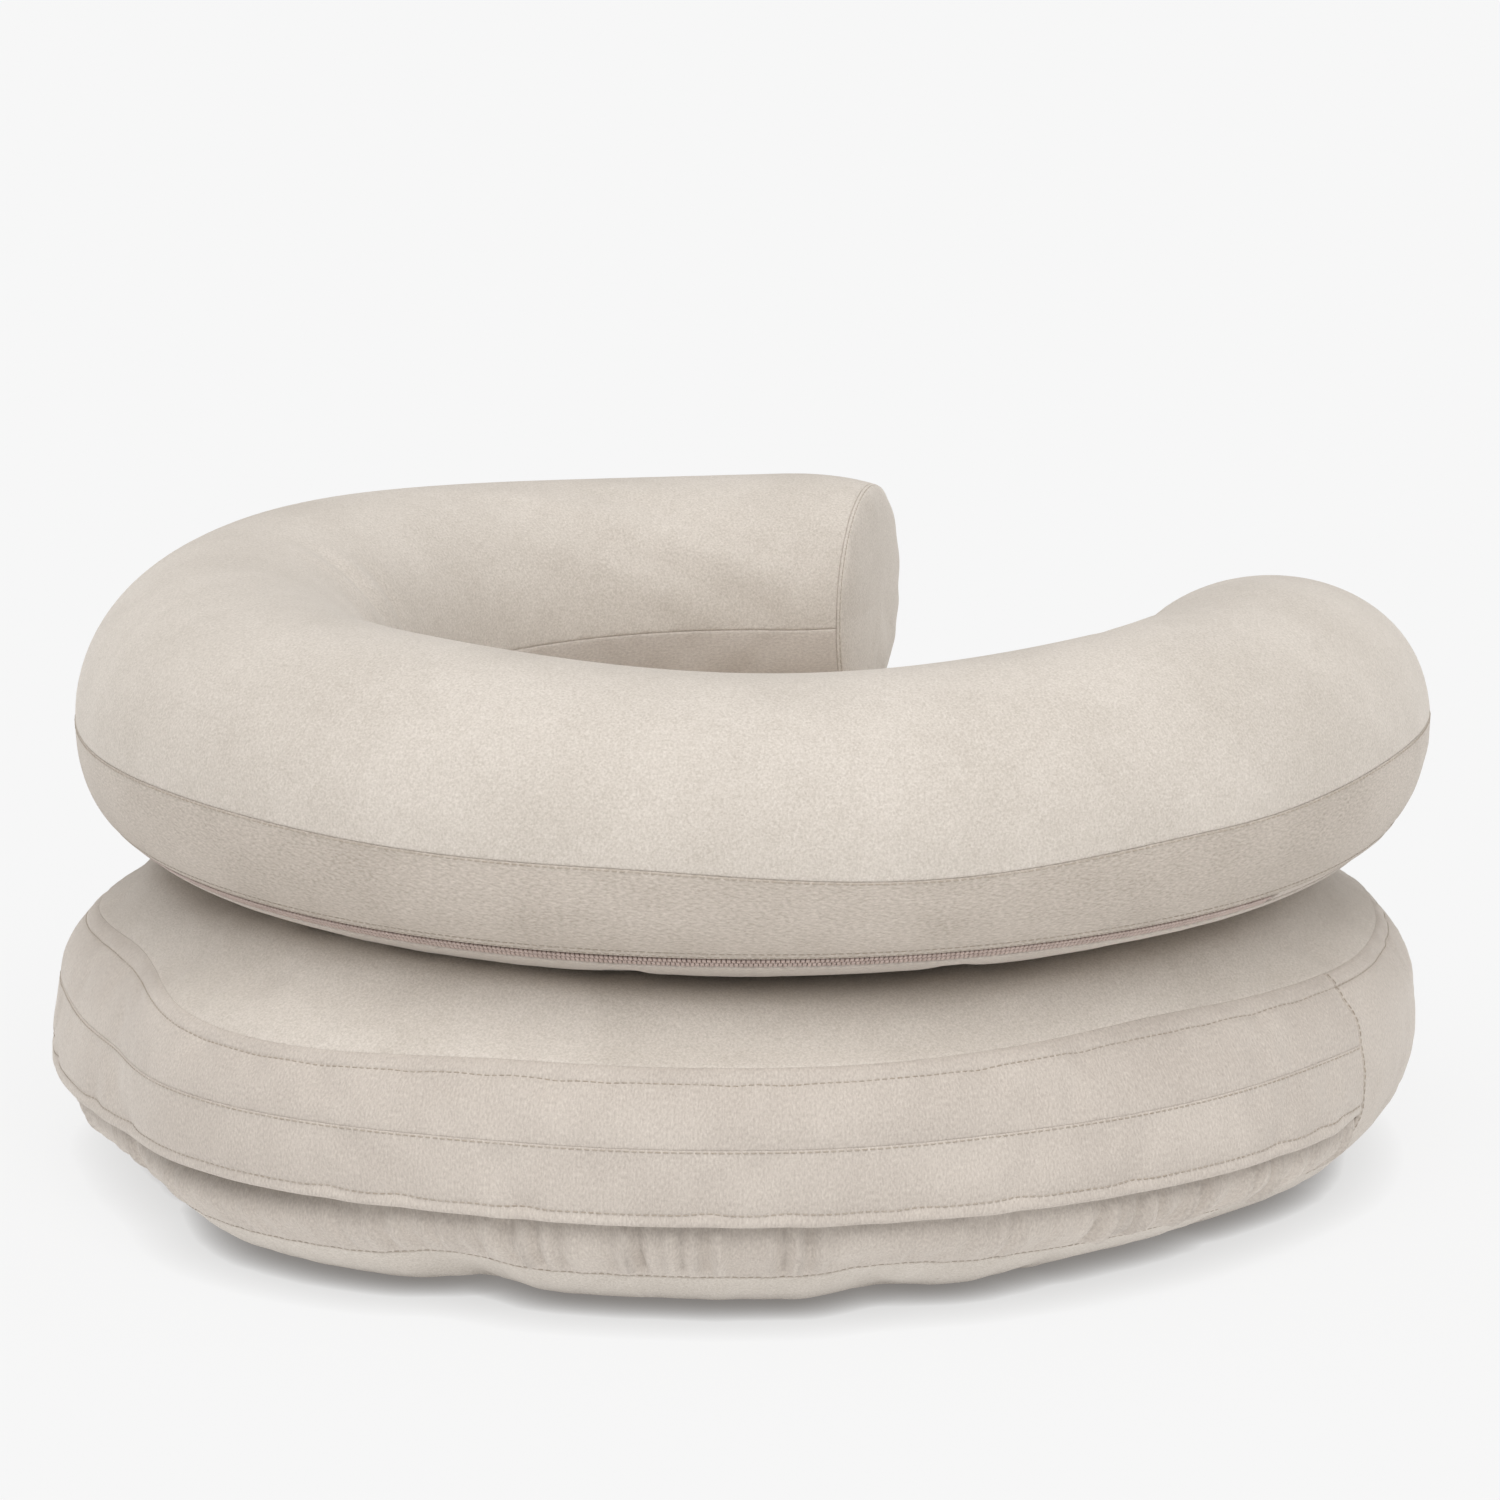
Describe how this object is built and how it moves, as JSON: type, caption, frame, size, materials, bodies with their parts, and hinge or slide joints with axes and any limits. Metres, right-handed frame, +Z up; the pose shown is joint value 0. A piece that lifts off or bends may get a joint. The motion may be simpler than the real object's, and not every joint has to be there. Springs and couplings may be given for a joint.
{
  "type": "round floor seat cushion with back bolster",
  "caption": "Round zipped floor seat cushion in short-pile suede cloth, with a C-shaped zipped bolster that lies on it as back and arm support.",
  "frame": {"origin": "centre of the seat's underside, on the floor", "axes": "+Z up, the bolster's opening (where the legs go) faces -Y, +X to the sitter's left"},
  "size_m": [0.656, 0.653, 0.2943],
  "materials": {
    "suede": "warm off-white short-pile microsuede, brushed nap",
    "suede_trim": "the same microsuede, folded double over the zip",
    "liner_cotton": "thin plain-woven white lining",
    "wadding": "white polyester fibre filling",
    "zip_tape": "taupe woven polyester zip tape",
    "zip_nylon": "taupe nylon coil, satin",
    "zip_nickel": "satin nickel plated zinc"
  },
  "bodies": {
    "seat": {"seat_top_panel": "suede", "seat_upper_band": "suede", "seat_middle_band": "suede", "seat_lower_band": "suede", "seat_bottom_panel": "suede", "seat_front_band": "suede", "seat_zip_flap": "suede_trim", "seat_liner_top": "liner_cotton", "seat_liner_bottom": "liner_cotton", "seat_filling": "wadding", "seat_zip_tape_upper": "zip_tape", "seat_zip_tape_lower": "zip_tape", "seat_zip_chain": "zip_nylon", "seat_zip_stop_left": "zip_nickel", "seat_zip_stop_right": "zip_nickel"},
    "bolster": {"bolster_top_panel": "suede", "bolster_outer_band": "suede", "bolster_under_panel": "suede", "bolster_inner_band": "suede", "bolster_end_panel_left": "suede", "bolster_end_panel_right": "suede", "bolster_zip_facing_left": "suede_trim", "bolster_zip_facing_right": "suede_trim", "bolster_liner_top": "liner_cotton", "bolster_liner_bottom": "liner_cotton", "bolster_filling": "wadding", "bolster_zip_tape_upper": "zip_tape", "bolster_zip_tape_lower": "zip_tape", "bolster_zip_chain": "zip_nylon", "bolster_zip_stop_left": "zip_nickel", "bolster_zip_stop_right": "zip_nickel"},
    "seat_zip_slider": {"seat_zip_slider": "zip_nickel"},
    "seat_zip_puller": {"seat_zip_puller": "zip_nickel"},
    "bolster_zip_slider": {"bolster_zip_slider": "zip_nickel"},
    "bolster_zip_puller": {"bolster_zip_puller": "zip_nickel"}
  },
  "joints": [
    {"name": "bolster_lift", "type": "slide", "parent": "seat", "child": "bolster", "axis": [0, 0, 1], "range_m": [0, 0.3]},
    {"name": "seat_zip_run", "type": "hinge", "parent": "seat", "child": "seat_zip_slider", "pos_m": [0, 0, 0.0585], "axis": [0, 0, 1], "range_deg": [0, 202]},
    {"name": "seat_puller_swing", "type": "hinge", "parent": "seat_zip_slider", "child": "seat_zip_puller", "pos_m": [0.3135, -0.06873, 0.05828], "axis": [-0.0705, 0.0155, -0.9974], "range_deg": [0, 6]},
    {"name": "bolster_zip_run", "type": "hinge", "parent": "bolster", "child": "bolster_zip_slider", "pos_m": [0, -0.012, 0.21463], "axis": [-0.0233, 0.021, 0.9995], "range_deg": [0, 189]},
    {"name": "bolster_puller_swing", "type": "hinge", "parent": "bolster_zip_slider", "child": "bolster_zip_puller", "pos_m": [0.29587, -0.0446, 0.16796], "axis": [-0.8589, 0.0828, -0.5054], "range_deg": [0, 150]}
  ]
}
